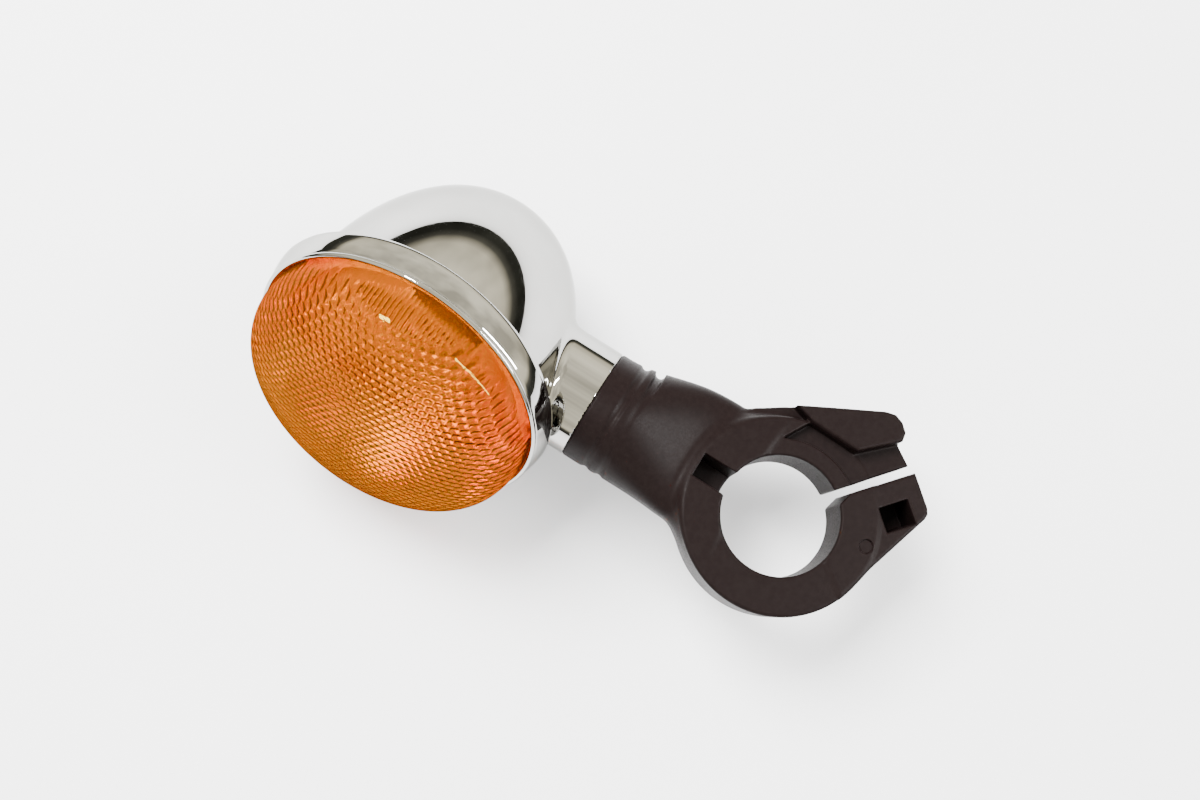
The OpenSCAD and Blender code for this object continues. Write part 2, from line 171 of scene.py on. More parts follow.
def revolve(outline, segments):
    """Closed outline of (radius, height) points, revolved about the head's axis."""
    outline = np.asarray(outline, float)
    count = len(outline)
    angle = np.linspace(0, 2 * math.pi, segments, endpoint=False)
    verts = np.stack([np.outer(np.cos(angle), outline[:, 0]), np.outer(np.sin(angle), outline[:, 0]),
                      np.outer(np.ones(segments), outline[:, 1])], axis=-1).reshape(-1, 3)
    faces = []
    for i in range(segments):
        for k in range(count):
            a = i * count + k
            b = i * count + (k + 1) % count
            c = (i + 1) % segments * count + (k + 1) % count
            d = (i + 1) % segments * count + k
            faces.append((a, d, c, b))
    return verts, faces


def ring_points(radius, height, angle):
    """Points on circles about the head's axis, one circle for each radius and height."""
    radius = np.atleast_2d(radius).T
    height = np.atleast_2d(height).T
    places = np.broadcast_arrays(radius * np.cos(angle), radius * np.sin(angle), height)
    return np.stack(places, axis=-1).reshape(-1, 3)


def band_faces(bands, segments, start=0, flip=False):
    """Quads that join each closed ring of points with the next."""
    faces = []
    for i in range(bands):
        near = start + i * segments
        far = near + segments
        for k in range(segments):
            n = (k + 1) % segments
            if flip:
                faces.append((near + k, far + k, far + n, near + n))
            else:
                faces.append((near + k, near + n, far + n, far + k))
    return faces


def tidy_mesh(piece, sharp_angle):
    """Joins doubled points, turns faces outwards and keeps real edges crisp."""
    work = bmesh.new()
    work.from_mesh(piece.data)
    bmesh.ops.remove_doubles(work, verts=work.verts, dist=1e-6)
    bmesh.ops.dissolve_degenerate(work, edges=work.edges, dist=1e-7)
    bmesh.ops.recalc_face_normals(work, faces=work.faces)
    work.to_mesh(piece.data)
    work.free()
    piece.data.shade_smooth()
    piece.data.set_sharp_from_angle(angle=math.radians(sharp_angle))
    return piece


def arc(centre, radius, start, end, steps):
    """Points on an arc, angles in degrees."""
    return [(centre[0] + radius * math.cos(math.radians(start + (end - start) * i / steps)),
             centre[1] + radius * math.sin(math.radians(start + (end - start) * i / steps)))
            for i in range(steps + 1)]


def dome(radius, height, power, steps):
    """Superellipse quarter from the edge to the axis."""
    points = []
    for i in range(steps + 1):
        a = math.pi / 2 * i / steps
        points.append((radius * max(math.cos(a), 0) ** (2 / power), height * math.sin(a) ** (2 / power)))
    return points


# ---- Distance fields and their surfaces ----

def smooth_union(a, b, k):
    h = np.clip(0.5 + 0.5 * (b - a) / k, 0, 1)
    return b + (a - b) * h - k * h * (1 - h)


def smooth_cut(a, b, k):
    """a with b taken away."""
    return -smooth_union(-a, b, k)


def box_field(x, y, z, low, high):
    dx = np.abs(x - (low[0] + high[0]) / 2) - (high[0] - low[0]) / 2
    dy = np.abs(y - (low[1] + high[1]) / 2) - (high[1] - low[1]) / 2
    dz = np.abs(z - (low[2] + high[2]) / 2) - (high[2] - low[2]) / 2
    outside = np.sqrt(np.maximum(dx, 0) ** 2 + np.maximum(dy, 0) ** 2 + np.maximum(dz, 0) ** 2)
    return outside + np.minimum(np.maximum(np.maximum(dx, dy), dz), 0)


def rod_field(across, along, radius, low, high):
    """Cylinder: across is the distance from its axis, along the place on it."""
    side = across - radius
    ends = np.abs(along - (low + high) / 2) - (high - low) / 2
    outside = np.sqrt(np.maximum(side, 0) ** 2 + np.maximum(ends, 0) ** 2)
    return outside + np.minimum(np.maximum(side, ends), 0)


def slab_field(flat, z, low, high, edge):
    """A flat outline's distance given height, with rounded edges."""
    ends = np.abs(z - (low + high) / 2) - (high - low) / 2
    flat = flat + edge
    ends = ends + edge
    outside = np.sqrt(np.maximum(flat, 0) ** 2 + np.maximum(ends, 0) ** 2)
    return outside + np.minimum(np.maximum(flat, ends), 0) - edge


def polygon_field(x, y, points):
    """Signed distance from a closed outline."""
    points = np.asarray(points, float)
    nearest = None
    sign = np.ones(np.broadcast(x, y).shape)
    for a, b in zip(points, np.roll(points, -1, axis=0)):
        ex, ey = b - a
        wx = x - a[0]
        wy = y - a[1]
        t = np.clip((wx * ex + wy * ey) / (ex * ex + ey * ey), 0, 1)
        d = (wx - ex * t) ** 2 + (wy - ey * t) ** 2
        nearest = d if nearest is None else np.minimum(nearest, d)
        crosses = ((y >= a[1]) != (y >= b[1])) & ((ex * wy - ey * wx > 0) == (b[1] > a[1]))
        sign = np.where(crosses, -sign, sign)
    return sign * np.sqrt(nearest)


def slope(field, points, reach=0.02):
    parts = []
    for axis in range(3):
        shift = np.zeros(3)
        shift[axis] = reach
        ahead = points + shift
        behind = points - shift
        parts.append((field(*ahead.T) - field(*behind.T)) / (2 * reach))
    return np.stack(parts, axis=1)


def surface_of(field, low, high, step):
    """Quads on a field's zero surface, one point in each crossed cell, pulled onto the surface."""
    pulls = 4
    longest_pull = 0.3 * step
    axes = [np.arange(low[i], high[i] + step, step) for i in range(3)]
    value = field(axes[0][:, None, None], axes[1][None, :, None], axes[2][None, None, :])
    inside = value < 0
    cells = tuple(n - 1 for n in value.shape)
    corners = [(i, j, k) for i in (0, 1) for j in (0, 1) for k in (0, 1)]

    def corner(array, c):
        return array[c[0]:c[0] + cells[0], c[1]:c[1] + cells[1], c[2]:c[2] + cells[2]]

    count = sum(corner(inside, c).astype(np.int8) for c in corners)
    active = np.argwhere((count > 0) & (count < 8))
    index = np.full(cells, -1, np.int64)
    index[tuple(active.T)] = np.arange(len(active))
    total = np.zeros((len(active), 3))
    hits = np.zeros(len(active))
    for c in corners:
        for axis in range(3):
            if c[axis]:
                continue
            d = list(c)
            d[axis] = 1
            v0 = value[tuple((active + c).T)]
            v1 = value[tuple((active + d).T)]
            crossed = (v0 < 0) != (v1 < 0)
            t = np.where(crossed, v0 / np.where(crossed, v0 - v1, 1), 0)
            place = np.tile(np.array(c, float), (len(active), 1))
            place[:, axis] = t
            total += place * crossed[:, None]
            hits += crossed
    verts = (active + total / hits[:, None]) * step + np.array([a[0] for a in axes])
    faces = []
    for axis in range(3):
        u, v = (axis + 1) % 3, (axis + 2) % 3
        first = [slice(1, n - 1) for n in value.shape]
        second = list(first)
        first[axis] = slice(0, value.shape[axis] - 1)
        second[axis] = slice(1, value.shape[axis])
        a = inside[tuple(first)]
        b = inside[tuple(second)]
        start = np.array([1, 1, 1])
        start[axis] = 0
        for mask, flip in ((a & ~b, False), (~a & b, True)):
            edge = np.argwhere(mask) + start
            around = []
            for du, dv in ((-1, -1), (0, -1), (0, 0), (-1, 0)):
                cell = edge.copy()
                cell[:, u] += du
                cell[:, v] += dv
                around.append(index[tuple(cell.T)])
            quad = np.stack(around[::-1] if flip else around, axis=1)
            faces.append(quad)
    faces = np.concatenate(faces)
    for _ in range(pulls):
        d = field(*verts.T)
        g = slope(field, verts)
        pull = g * (d / np.maximum((g * g).sum(axis=1), 1e-6))[:, None]
        size = np.linalg.norm(pull, axis=1, keepdims=True)
        verts = verts - pull * np.minimum(1, longest_pull / np.maximum(size, 1e-9))
    g = slope(field, verts)
    normals = g / np.maximum(np.linalg.norm(g, axis=1, keepdims=True), 1e-9)
    return verts, faces, normals


# ---- Materials ----

def material(name):
    made = bpy.data.materials.new(name)
    made.use_nodes = True
    return made, made.node_tree


def principled(tree):
    return tree.nodes["Principled BSDF"]


def noise(tree, scale, detail=3.0, stretch=(1, 1, 1)):
    """Noise in the object's own metres: scale is features per metre."""
    place = tree.nodes.new("ShaderNodeTexCoord")
    mapping = tree.nodes.new("ShaderNodeMapping")
    mapping.inputs["Scale"].default_value = stretch
    texture = tree.nodes.new("ShaderNodeTexNoise")
    texture.inputs["Scale"].default_value = scale
    texture.inputs["Detail"].default_value = detail
    tree.links.new(place.outputs["Object"], mapping.inputs["Vector"])
    tree.links.new(mapping.outputs["Vector"], texture.inputs["Vector"])
    return texture.outputs["Fac"]


def ramp(tree, value, low, high, low_at=0.35, high_at=0.65):
    """A value spread between two colours or two greys."""
    made = tree.nodes.new("ShaderNodeValToRGB")
    ends = made.color_ramp.elements
    ends[0].position = low_at
    ends[1].position = high_at
    for end, shade in ((ends[0], low), (ends[1], high)):
        end.color = (*shade, 1) if isinstance(shade, tuple) else (shade, shade, shade, 1)
    tree.links.new(value, made.inputs["Fac"])
    return made.outputs["Color"]


def bump(tree, shader, value, strength, depth_mm):
    made = tree.nodes.new("ShaderNodeBump")
    made.inputs["Strength"].default_value = strength
    made.inputs["Distance"].default_value = depth_mm * mm
    tree.links.new(value, made.inputs["Height"])
    tree.links.new(made.outputs["Normal"], shader.inputs["Normal"])


def plain(name, low, high, rough_low, rough_high, scale, bump_scale, bump_mm, strength,
          metallic=0.0, stretch=(1, 1, 1)):
    """A surface whose colour, roughness and relief all vary a little."""
    made, tree = material(name)
    shader = principled(tree)
    shader.inputs["Metallic"].default_value = metallic
    broad = noise(tree, scale, 4)
    tree.links.new(ramp(tree, broad, low, high), shader.inputs["Base Color"])
    fine = noise(tree, bump_scale, 3, stretch)
    tree.links.new(ramp(tree, fine, rough_low, rough_high), shader.inputs["Roughness"])
    bump(tree, shader, fine, strength, bump_mm)
    return made


def chrome_plate():
    """Chrome that stays grey at grazing angles."""
    edge_tint = (0.62, 0.62, 0.61, 1)
    made = plain("chrome_plate", (0.41, 0.407, 0.392), (0.45, 0.447, 0.432), 0.02, 0.05, 60, 260,
                 0.01, 0.1, metallic=1.0)
    principled(made.node_tree).inputs["Specular Tint"].default_value = edge_tint
    return made


def black_polymer():
    """Moulded brown-black plastic; the low index keeps its gloss faint."""
    faint_index = 1.13
    made = plain("black_polymer", (0.0052, 0.0031, 0.0030), (0.0064, 0.0040, 0.0038), 0.34, 0.50,
                 700, 2600, 0.05, 0.35)
    principled(made.node_tree).inputs["IOR"].default_value = faint_index
    return made


def mix_shaders(tree, share, first, second):
    """Share is a number or a node's output: 0 gives the first shader, 1 the second."""
    mixed = tree.nodes.new("ShaderNodeMixShader")
    if isinstance(share, float):
        mixed.inputs["Fac"].default_value = share
    else:
        tree.links.new(share, mixed.inputs["Fac"])
    tree.links.new(first, mixed.inputs[1])
    tree.links.new(second, mixed.inputs[2])
    return mixed.outputs["Shader"]


def lit_middle_to_ends(tree):
    """0 over most of the lens, whose yellower middle is painted light from the lit reflector behind, and
    1 at the head's two ends along X, a little more so above.
    """
    lean = 0.35
    reach_from, reach_to = 0.029, 0.043
    place = tree.nodes.new("ShaderNodeTexCoord")
    shift = tree.nodes.new("ShaderNodeVectorMath")
    shift.operation = "SUBTRACT"
    shift.inputs[1].default_value = head_origin * mm
    split = tree.nodes.new("ShaderNodeSeparateXYZ")
    side = tree.nodes.new("ShaderNodeMath")
    side.operation = "ABSOLUTE"
    height = tree.nodes.new("ShaderNodeVectorMath")
    height.operation = "DOT_PRODUCT"
    height.inputs[1].default_value = head_matrix.to_3x3() @ Vector((0, 1, 0))
    corner = tree.nodes.new("ShaderNodeMath")
    corner.operation = "MULTIPLY_ADD"
    corner.inputs[1].default_value = lean
    reach = tree.nodes.new("ShaderNodeMapRange")
    reach.inputs["From Min"].default_value = reach_from
    reach.inputs["From Max"].default_value = reach_to
    tree.links.new(place.outputs["Object"], shift.inputs[0])
    tree.links.new(shift.outputs["Vector"], split.inputs["Vector"])
    tree.links.new(split.outputs["X"], side.inputs[0])
    tree.links.new(shift.outputs["Vector"], height.inputs[0])
    tree.links.new(height.outputs["Value"], corner.inputs[0])
    tree.links.new(side.outputs["Value"], corner.inputs[2])
    tree.links.new(corner.outputs["Value"], reach.inputs["Value"])
    return reach.outputs["Result"]


def cloudy_amber(tree):
    """Light that the plastic scatters, half of it onward and half of it back."""
    cloud = noise(tree, 60, 3)
    onward = tree.nodes.new("ShaderNodeBsdfTranslucent")
    tree.links.new(ramp(tree, cloud, (0.80, 0.17, 0.001), (0.95, 0.24, 0.002)), onward.inputs["Color"])
    back = tree.nodes.new("ShaderNodeBsdfDiffuse")
    tree.links.new(ramp(tree, cloud, (0.50, 0.11, 0.001), (0.62, 0.15, 0.001)), back.inputs["Color"])
    return mix_shaders(tree, 0.5, onward.outputs["BSDF"], back.outputs["BSDF"])


def amber_lens():
    """Clear amber plastic, a little cloudy, redder towards the head's two ends, where the view crosses
    more plastic, and yellower in the lower middle as painted light from the lit reflector behind.
    """
    plastic_index = 1.49
    cloudy_share = 0.12
    gloss_square_on, gloss_edge_on = 0.011, 0.022
    made, tree = material("amber_lens")
    tree.nodes.remove(principled(tree))
    fine = noise(tree, 300, 2)
    clear = tree.nodes.new("ShaderNodeBsdfRefraction")
    clear.inputs["IOR"].default_value = plastic_index
    # Painted light: the yellower middle colour stands in for the reflector's glow behind the lens; the
    # redder end colour stands for the longer path through the plastic.
    shade = ramp(tree, lit_middle_to_ends(tree), (0.89, 0.625, 0.003), (0.87, 0.39, 0.002), 0, 1)
    tree.links.new(shade, clear.inputs["Color"])
    tree.links.new(ramp(tree, fine, 0.015, 0.045), clear.inputs["Roughness"])
    gloss = tree.nodes.new("ShaderNodeBsdfGlossy")
    gloss.inputs["Color"].default_value = (1.0, 0.70, 0.12, 1)
    tree.links.new(ramp(tree, fine, 0.02, 0.05), gloss.inputs["Roughness"])
    facing = tree.nodes.new("ShaderNodeLayerWeight")
    facing.inputs["Blend"].default_value = 0.25
    gloss_share = ramp(tree, facing.outputs["Facing"], gloss_square_on, gloss_edge_on, 0, 1)
    body = mix_shaders(tree, cloudy_share, clear.outputs["BSDF"], cloudy_amber(tree))
    surface = mix_shaders(tree, gloss_share, body, gloss.outputs["BSDF"])
    tree.links.new(surface, tree.nodes["Material Output"].inputs["Surface"])
    return made


def clear_glass():
    glass_index = 1.5
    made, tree = material("clear_glass")
    shader = principled(tree)
    tint = ramp(tree, noise(tree, 80, 2), (0.96, 0.97, 0.98), (1.0, 1.0, 1.0))
    tree.links.new(tint, shader.inputs["Base Color"])
    tree.links.new(ramp(tree, noise(tree, 300, 2), 0.0, 0.02), shader.inputs["Roughness"])
    shader.inputs["Transmission Weight"].default_value = 1.0
    shader.inputs["IOR"].default_value = glass_index
    return made


def make_materials():
    """All materials under the record's names for them."""
    made = {
        "amber_lens": amber_lens(),
        "chrome_plate": chrome_plate(),
        "black_polymer": black_polymer(),
        "clear_glass": clear_glass(),
        "tungsten": plain("tungsten", (0.12, 0.12, 0.13), (0.22, 0.22, 0.23), 0.35, 0.5, 500, 4000, 0.02,
                          0.3, metallic=1.0, stretch=(8, 1, 1)),
    }
    # Two shades, two roughnesses, broad and fine features per metre, relief in mm and its strength
    metals = {
        "reflector_film": (0.88, 0.94, 0.08, 0.16, 80, 400, 0.05, 0.2),
        "plated_steel": (0.50, (0.66, 0.66, 0.65), 0.22, 0.36, 120, 1500, 0.02, 0.2),
        "spring_steel": (0.45, 0.6, 0.2, 0.3, 300, 2000, 0.01, 0.2),
        "nickel_brass": ((0.62, 0.58, 0.48), (0.74, 0.70, 0.60), 0.18, 0.3, 150, 1200, 0.02, 0.2),
        "brass": ((0.60, 0.42, 0.16), (0.74, 0.56, 0.25), 0.2, 0.35, 150, 1200, 0.02, 0.2),
    }
    others = {
        "seal_rubber": (0.02, 0.04, 0.7, 0.85, 200, 3000, 0.05, 0.3),
        "fibre_board": ((0.16, 0.07, 0.03), (0.26, 0.13, 0.06), 0.6, 0.75, 400, 2500, 0.05, 0.3),
        "black_glass": (0.01, 0.02, 0.08, 0.15, 200, 900, 0.02, 0.1),
        "green_pvc": ((0.01, 0.08, 0.02), (0.02, 0.12, 0.03), 0.3, 0.42, 200, 1500, 0.02, 0.3),
        "black_pvc": (0.01, 0.025, 0.3, 0.42, 200, 1500, 0.02, 0.3),
    }
    for name, values in metals.items():
        made[name] = plain(name, *values, metallic=1.0)
    for name, values in others.items():
        made[name] = plain(name, *values)
    return made


def dress(piece, name):
    piece.data.materials.clear()
    piece.data.materials.append(finishes[name])


def finish_piece(piece, node, slot_name):
    """Gives a piece its material and body and lets it stand for its CAD node."""
    dress(piece, slot_name)
    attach(piece, nodes[node]["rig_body"])
    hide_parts(node)
    return piece


# ---- Lens ----

flute_pitch = 1.25
flute_depth = 0.50
flutes_above = 35.4
pillow_pitch = (2.4, 1.8)
pillow_depth = 0.52
optics_fade = 0.4


def optics(x, y):
    """Depth of the moulded optics inside the lens, in millimetres: flutes above, pillows below."""
    flutes = flute_depth * np.abs(np.cos(math.pi * x / flute_pitch))
    pitch_x, pitch_y = pillow_pitch
    row = np.floor(y / pitch_y)
    shifted = x + 0.5 * pitch_x * np.mod(row, 2)
    px = 2 * (shifted / pitch_x - np.floor(shifted / pitch_x)) - 1
    py = 2 * (y / pitch_y - row) - 1
    pillows = pillow_depth * (1 - px ** 2) * (1 - py ** 2)
    return np.where(y > flutes_above, flutes, pillows)


def make_lens():
    """Dome with a smooth outside, the optics inside and a flange that the rim holds."""
    segments, rings, dome_steps = 1080, 170, 64
    edge_crowding = 1.5
    sharp_angle = 50
    angle = np.linspace(0, 2 * math.pi, segments, endpoint=False)
    reach = (1 - np.linspace(0, 1, rings, endpoint=False) ** edge_crowding)[:, None]
    inner_r = lens_r - lens_wall
    inner_h = dome_h - lens_wall
    r = inner_r * reach
    z = bead_z + inner_h * (1 - reach ** lens_power) ** (1 / lens_power)
    x, y = r * np.cos(angle), r * np.sin(angle)
    lift = optics(x, y) * np.clip((inner_r - r) / optics_fade, 0, 1)
    steep = reach ** (lens_power - 1) / inner_r
    rise = ((z - bead_z) / inner_h) ** (lens_power - 1) / inner_h
    size = np.sqrt(steep ** 2 + rise ** 2)
    inward_r, inward_z = steep / size, rise / size
    x = x - lift * inward_r * np.cos(angle)
    y = y - lift * inward_r * np.sin(angle)
    z = z - lift * inward_z
    inner = np.stack([x, y, z], axis=-1).reshape(-1, 3)
    faces = band_faces(rings - 1, segments, flip=True)
    top = np.array([[0, 0, bead_z + inner_h]])
    top_index = len(inner)
    last = top_index - segments
    faces += [(last + k, top_index, last + (k + 1) % segments) for k in range(segments)]
    outline = [(lens_flange_r, lens_seat), (lens_flange_r, lens_flange_top), (lens_r, lens_flange_top)]
    outline += [(r, z + bead_z) for r, z in dome(lens_r, dome_h, lens_power, dome_steps)]
    outer = ring_points(*np.array(outline).T, angle)
    base = top_index + 1
    faces += band_faces(len(outline) - 1, segments, base)
    seat = ring_points(inner_r, lens_seat, angle)
    seat_base = base + len(outer)
    for k in range(segments):
        n = (k + 1) % segments
        faces.append((seat_base + k, seat_base + n, base + n, base + k))
        faces.append((k, n, seat_base + n, seat_base + k))
    verts = np.concatenate([inner, top, outer, seat])
    piece = tidy_mesh(new_object("lens_optics", to_row(verts), faces), sharp_angle)
    return finish_piece(piece, "lens", "amber_lens")


# ---- Rim ----

rim_sharp_angle = 40
# Radius, start and end along the screw's axis, from the seat of its head outwards
screw_bore = (1.45, -4.0, 4.0)
screw_head_room = (2.65, 0.0, 5.0)


def make_rim():
    """Hoop with a bead over the lens, a slightly bulged band and a rounded rear edge."""
    lens_gap = 0.15
    flange_gap = 0.1
    bead_r = 0.75
    bead_drop = 0.15
    band_inset = 0.15
    band_below_bead = 1.4
    band_steps = 10
    bulge = 0.25
    rear_edge_r = 0.5
    rear_inset = 0.25
    lip = lens_r + lens_gap
    skirt = lens_flange_r + flange_gap
    bead = arc((lip + bead_r, bead_z - bead_drop), bead_r, -50, 180, 16)
    band = []
    for i in range(band_steps + 1):
        t = i / band_steps
        r = rim_rear_r * (1 - t) + (lip + 2 * bead_r - band_inset) * t + bulge * math.sin(math.pi * t)
        inset = rear_inset if i == 0 else 0
        band.append((r - inset, rim_z + rear_edge_r + (bead_z - band_below_bead - rim_z) * t))
    rear_place = (rim_rear_r - (rear_edge_r + rear_inset), rim_z + rear_edge_r)
    rear = arc(rear_place, rear_edge_r, 270, 340, 5)
    outline = [(skirt, lens_flange_top), (skirt, rim_z)] + rear + band + bead + [(lip, lens_flange_top)]
    verts, faces = revolve(outline, 256)
    piece = new_object("rim_hoop", to_row(verts), faces)
    tidy_mesh(piece, rim_sharp_angle)
    cut_screw_holes(piece)
    return finish_piece(piece, "rim_bezel", "chrome_plate")


def cut_screw_holes(piece):
    """Counterbored holes for the two rim screws."""
    for name in ("rim_screw_left_turn", "rim_screw_right_turn"):
        joint = joints[name]
        seat = Vector(joint["pos_m"])
        out = Vector(joint["axis"])
        turn = out.to_track_quat("Z", "Y").to_matrix().to_4x4()
        for radius, start, end in (screw_bore, screw_head_room):
            bpy.ops.mesh.primitive_cylinder_add(vertices=48, radius=radius * mm, depth=(end - start) * mm)
            cutter = bpy.context.object
            cutter.matrix_world = Matrix.Translation(seat + out * (start + end) / 2 * mm) @ turn
            apply_boolean(piece, cutter)


def apply_boolean(piece, cutter):
    change = piece.modifiers.new("cut", "BOOLEAN")
    change.operation = "DIFFERENCE"
    change.solver = "EXACT"
    change.object = cutter
    bpy.context.view_layer.update()
    done = piece.evaluated_get(bpy.context.evaluated_depsgraph_get())
    mesh = bpy.data.meshes.new_from_object(done)
    piece.modifiers.clear()
    piece.data = mesh
    bpy.data.objects.remove(cutter)
    piece.data.set_sharp_from_angle(angle=math.radians(rim_sharp_angle))


# ---- Bowl ----

def bowl_field(x, y, z):
    """Bowl shell with its neck, in the head's own directions."""
    neck_blend = 2.6
    inside_edge = 0.3
    stud_gap = 0.05
    stud_low = -90
    past_neck = -arm_end + 5
    across = np.sqrt(x * x + y * y)
    depth = np.maximum(rim_z - z, 0)

    def ellipse(radius, length):
        level = ((across / radius) ** bowl_power + (depth / length) ** bowl_power) ** (1 / bowl_power)
        return (level - 1) * radius

    neck_across = np.sqrt(y * y + z * z)
    along = x + head_origin.x
    neck = rod_field(neck_across, along, neck_r, neck_low, -arm_end)
    outer = smooth_union(ellipse(bowl_r, bowl_depth), neck, neck_blend)
    outer = np.maximum(outer, z - flange_top)
    flange = rod_field(across, z, lens_flange_r, flange_low, flange_top)
    outer = np.minimum(outer, flange)
    hollow = ellipse(bowl_r - bowl_wall, bowl_depth - bowl_wall)
    bores = (
        (neck_in_r, neck_low, bulkhead[0]),
        (neck_in_r, bulkhead[1], past_neck),
        (stud_r + stud_gap, stud_low, past_neck),
    )
    for radius, start, end in bores:
        hollow = np.minimum(hollow, rod_field(neck_across, along, radius, start, end))
    return smooth_cut(outer, hollow, inside_edge)


def make_bowl():
    step = 0.6
    side_room, end_room = 5, 2
    half = bowl_r + side_room
    neck_out = -head_origin.x - arm_end
    low = (-half, -half, rim_z - bowl_depth - end_room)
    high = (neck_out + end_room, half, flange_top + end_room)
    verts, faces, normals = surface_of(bowl_field, low, high, step)
    turned = normals @ np.array(head_matrix.to_3x3()).T
    piece = new_object("bowl_shell", to_row(verts), faces, turned)
    return finish_piece(piece, "housing_bowl", "chrome_plate")


# ---- Clamp arm ----

# Outlines in the clamp's directions: u along its slot from the bore's axis, v across it
upper_lug = [(1, 2.1), (39.5, 2.1), (38.6, 8.8), (40.3, 11), (40.4, 14), (39.4, 16.6), (37, 18.3),
             (22.6, 24), (12, 28.2), (4, 30.3), (-3, 30.6), (-9, 29), (-14, 24)]
block = [(25.9, 10.2), (38.6, 9), (40.3, 11), (40.4, 14), (39.4, 16.6), (37, 18.3), (22.6, 24),
         (14, 27.3), (16.5, 21.7)]
lower_lug = [(6, 0), (39.5, 0), (39.5, -10.2), (39, -11.9), (37.8, -12.9), (8.1, -25.6)]
recess_outline = [(12, 2), (45, 2), (45, 9), (38.6, 9), (25.9, 10.2), (16.5, 21.7), (8, 20)]
slot_mouth = [(10, 1), (20.5, 1), (20.5, 0), (14, -3.2)]
slot_u = (8, 60)
slot_w = 2.1
web_top = 5.0
block_top = 10.4
collar_r = 21.3
bolt_start = -12
bolt_head_r = 5.0
bolt_head_v = (15.5, 40)
nut_pocket_half = 4.2
nut_pocket_v = (-13.3, -6.2)
nut_pocket_floor = -4.4
wire_notch_x = (-26.2, -12)
wire_notch_half = 3.5
wire_notch_floor = -4.0
# Radius, start and end along the arm
stud_bore = (stud_r, -70, stud_end)
stud_anchor = (10.5, -55.6, -51.6)
wire_bore = (4.0, -40, -24)
grooves_x = (-52.2, -47.8)
groove_r = 1.35
groove_rise = 0.9
mark_place = (24.0, 5.2)
mark_r = 1.9
mark_depth = 0.35
past_arm = 30
recess_edge = 0.7
stalk_blend = 4.0
plate_blend = 0.8
lug_blend = 0.5
ring_blend = 1.2


def ease(t):
    """Smooth step from 0 to 1."""
    t = np.clip(t, 0, 1)
    return t * t * (3 - 2 * t)


def ease_along(x, start, end):
    """0 up to start, 1 from end on, and a smooth rise between them."""
    return ease((x - start) / (end - start))


def stalk_field(x, y, z):
    """Round collar that flares and flattens towards the ring."""
    flat_half_h = 8.2
    wider = 3.0
    aside = 2.4
    squarer = 1.2
    end_x = -14
    end_edge = 0.8
    flatten = ease_along(x, -52, -26)
    half_w = neck_r + wider * ease_along(x, -58, -24)
    half_h = neck_r + (flat_half_h - neck_r) * flatten
    middle = aside * ease_along(x, -57, -31)
    power = 2 + squarer * flatten
    level = (np.abs((y - middle) / half_w) ** power + np.abs(z / half_h) ** power) ** (1 / power)
    side = (level - 1) * half_h
    ends = np.maximum(-arm_end - x, x - end_x)
    return -smooth_union(-side, -ends, end_edge)


def arm_field(x, y, z):
    """Collar, clamp ring and lugs, less their bores, slot, pockets and grooves."""
    across = np.sqrt(x * x + y * y)
    u = x * slot_along.x + y * slot_along.y
    v = x * slot_side.x + y * slot_side.y
    # Solid parts, each slab with the radius of its edges
    ring = slab_field(across - ring_r, z, -ring_half, ring_half, 1.0)
    web = slab_field(polygon_field(u, v, upper_lug), z, -ring_half, web_top, 0.8)
    raised = slab_field(polygon_field(u, v, block), z, -ring_half, block_top, 0.9)
    lower = slab_field(polygon_field(u, v, lower_lug), z, -ring_half, ring_half, 1.0)
    recess = np.maximum(polygon_field(u, v, recess_outline), np.maximum(web_top - z, collar_r - across))
    ring = smooth_cut(ring, recess, recess_edge)
    body = smooth_union(stalk_field(x, y, z), ring, stalk_blend)
    lugs = smooth_union(smooth_union(web, raised, plate_blend), lower, lug_blend)
    body = smooth_union(body, lugs, ring_blend)
    # Cuts, each with the softness of its edges
    bolt_across = np.sqrt((u - bolt_u) ** 2 + z ** 2)
    slot = box_field(u, v, z, (slot_u[0], 0, -past_arm), (slot_u[1], slot_w, past_arm))
    nut_pocket = box_field(u, v, z, (bolt_u - nut_pocket_half, nut_pocket_v[0], nut_pocket_floor),
                           (bolt_u + nut_pocket_half, nut_pocket_v[1], past_arm))
    wire_notch = box_field(x, y, z, (wire_notch_x[0], -wire_notch_half, wire_notch_floor),
                           (wire_notch_x[1], wire_notch_half, past_arm))
    stalk_across = np.sqrt(y * y + z * z)
    cuts = (
        (rod_field(across, z, tube_r, -past_arm, past_arm), 0.9),
        (np.minimum(slot, polygon_field(u, v, slot_mouth)), 0.5),
        (rod_field(bolt_across, v, bolt_r, bolt_start, past_arm), 0.4),
        (rod_field(bolt_across, v, bolt_head_r, *bolt_head_v), 0.5),
        (nut_pocket, 0.4),
        (wire_notch, 0.5),
        (rod_field(stalk_across, x, *stud_bore), 0.3),
    )
    for cut, softness in cuts:
        body = smooth_cut(body, cut, softness)
    for bore in (stud_anchor, wire_bore):
        body = np.maximum(body, -rod_field(stalk_across, x, *bore))
    for place in grooves_x:
        groove = np.sqrt((stalk_across - neck_r - groove_rise) ** 2 + (x - place) ** 2) - groove_r
        body = smooth_cut(body, groove, 0.5)
    mark_across = np.sqrt((x - mark_place[0]) ** 2 + (y - mark_place[1]) ** 2)
    mark = rod_field(mark_across, z, mark_r, ring_half - mark_depth, past_arm)
    return smooth_cut(body, mark, 0.2)


def make_arm():
    step = 0.42
    room = 1
    low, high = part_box("clamp_arm")
    low = (-arm_end - room, low.y / mm - room, low.z / mm - room)
    high = (high.x / mm + room, high.y / mm + room, high.z / mm + room)
    verts, faces, normals = surface_of(arm_field, low, high, step)
    piece = new_object("moulded_arm", verts, faces, normals)
    return finish_piece(piece, "clamp_arm", "black_polymer")


# ---- Contact spring ----

